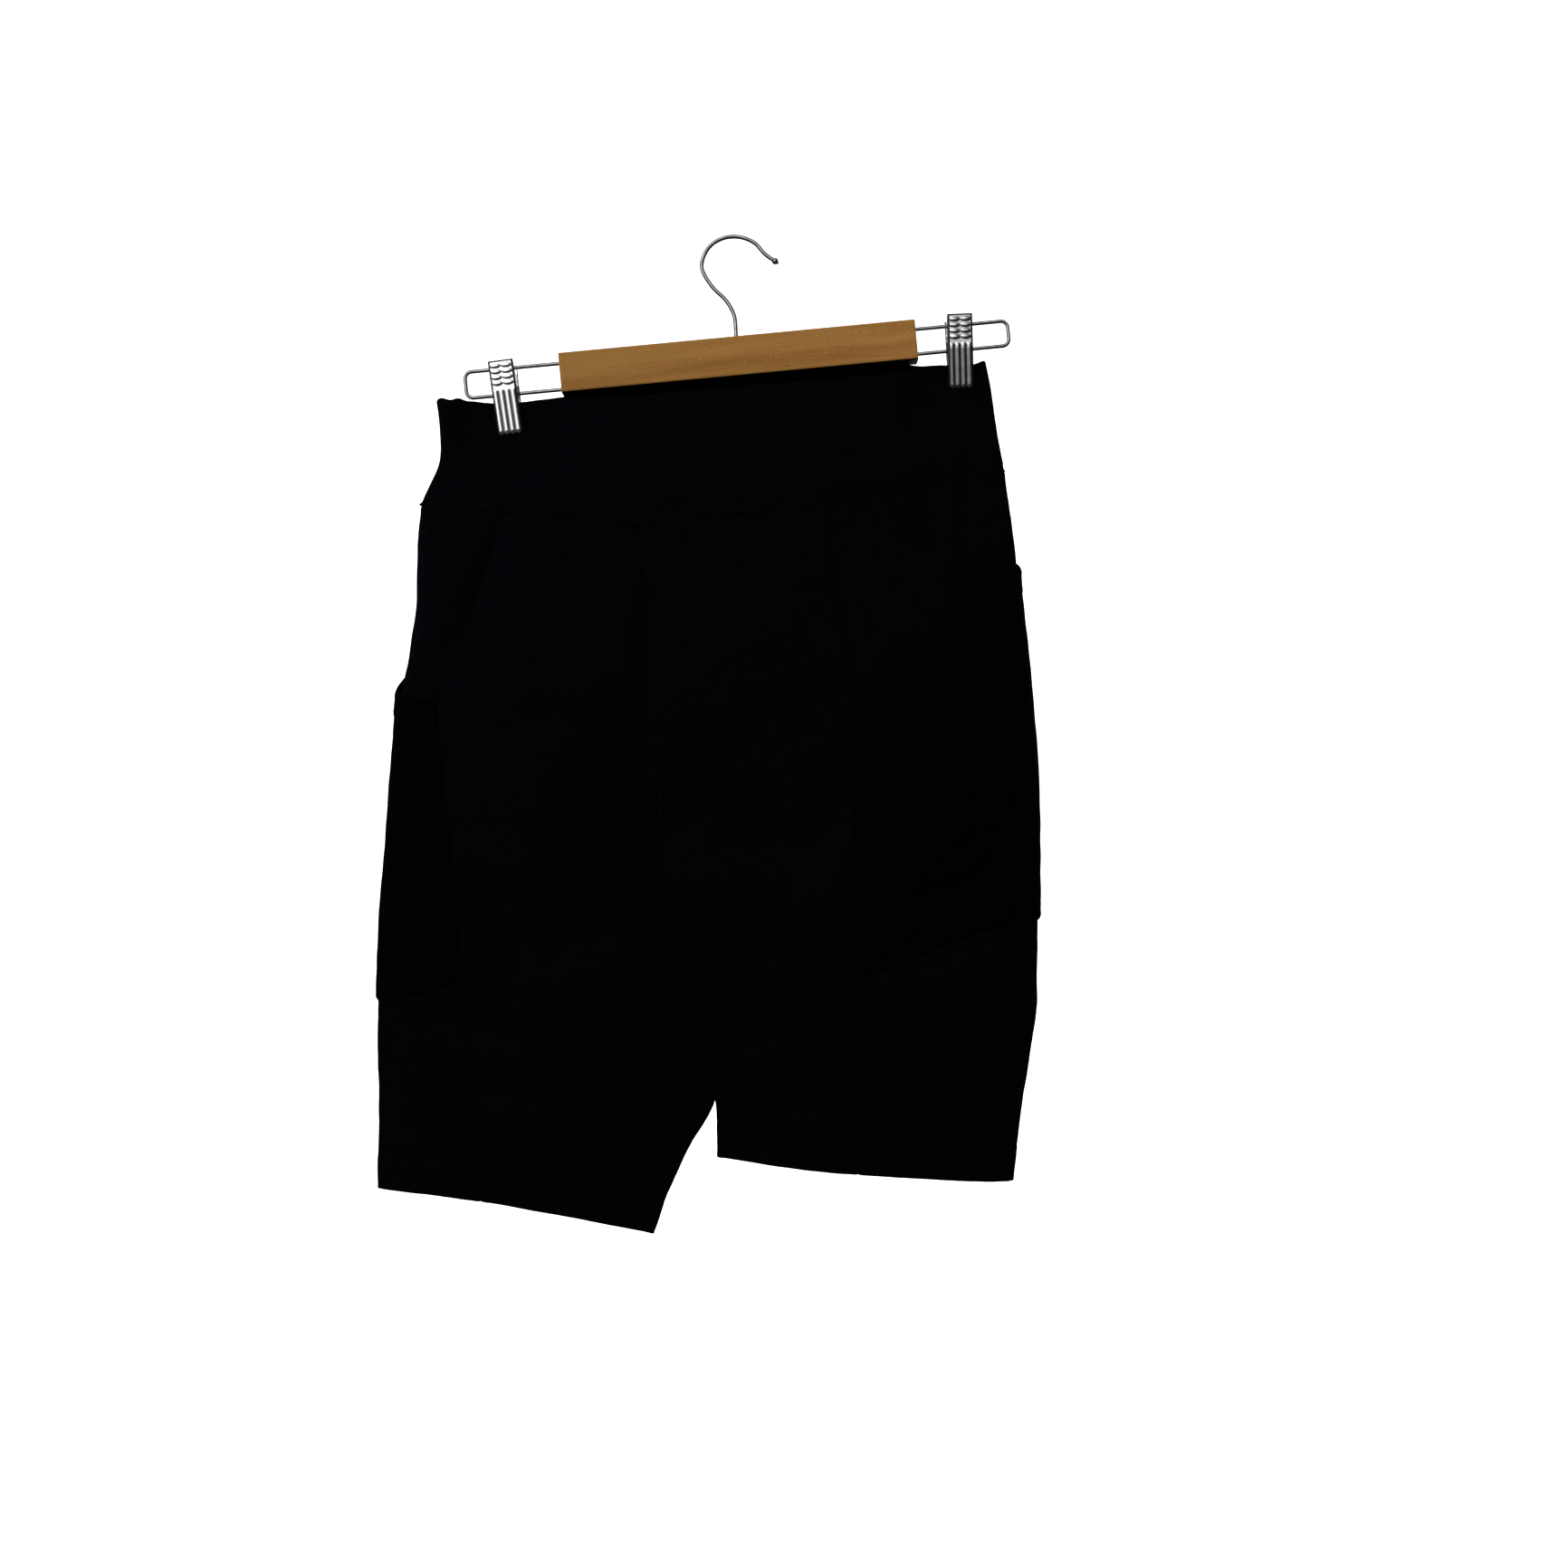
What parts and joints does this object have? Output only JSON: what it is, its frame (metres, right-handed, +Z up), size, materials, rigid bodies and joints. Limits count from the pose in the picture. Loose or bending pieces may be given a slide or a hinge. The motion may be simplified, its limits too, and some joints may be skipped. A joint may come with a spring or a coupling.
{
  "type": "high-waisted athletic shorts on a clip hanger",
  "caption": "High-waisted athletic shorts with drop-in side pockets, hung flat by the waistband from the clips of a wood and wire hanger.",
  "frame": {"origin": "inside top of the hook, in the hook's middle plane, where a rail holds it", "axes": "+X to the right seen from the front, +Y to the back, +Z up; the shorts face -Y"},
  "size_m": [0.4318, 0.0518, 0.6473],
  "materials": {
    "jersey": "matte knit",
    "wood": "satin varnish",
    "wire": "polished",
    "nickel": "bright nickel plate"
  },
  "bodies": {
    "root": {"waistband_front": "jersey", "waistband_back": "jersey", "front_panel_left": "jersey", "side_panel_left": "jersey", "back_panel_left": "jersey", "pocket_left": "jersey", "front_panel_right": "jersey", "side_panel_right": "jersey", "back_panel_right": "jersey", "pocket_right": "jersey", "hanger_bar": "wood", "wire_loop_left": "wire", "wire_loop_right": "wire", "hanger_hook": "wire", "clip_spring_left": "wire", "clip_spring_right": "wire", "clip_front_left": "nickel", "clip_back_left": "nickel", "clip_pin_left": "nickel", "clip_front_right": "nickel", "clip_back_right": "nickel", "clip_pin_right": "nickel"}
  },
  "joints": []
}
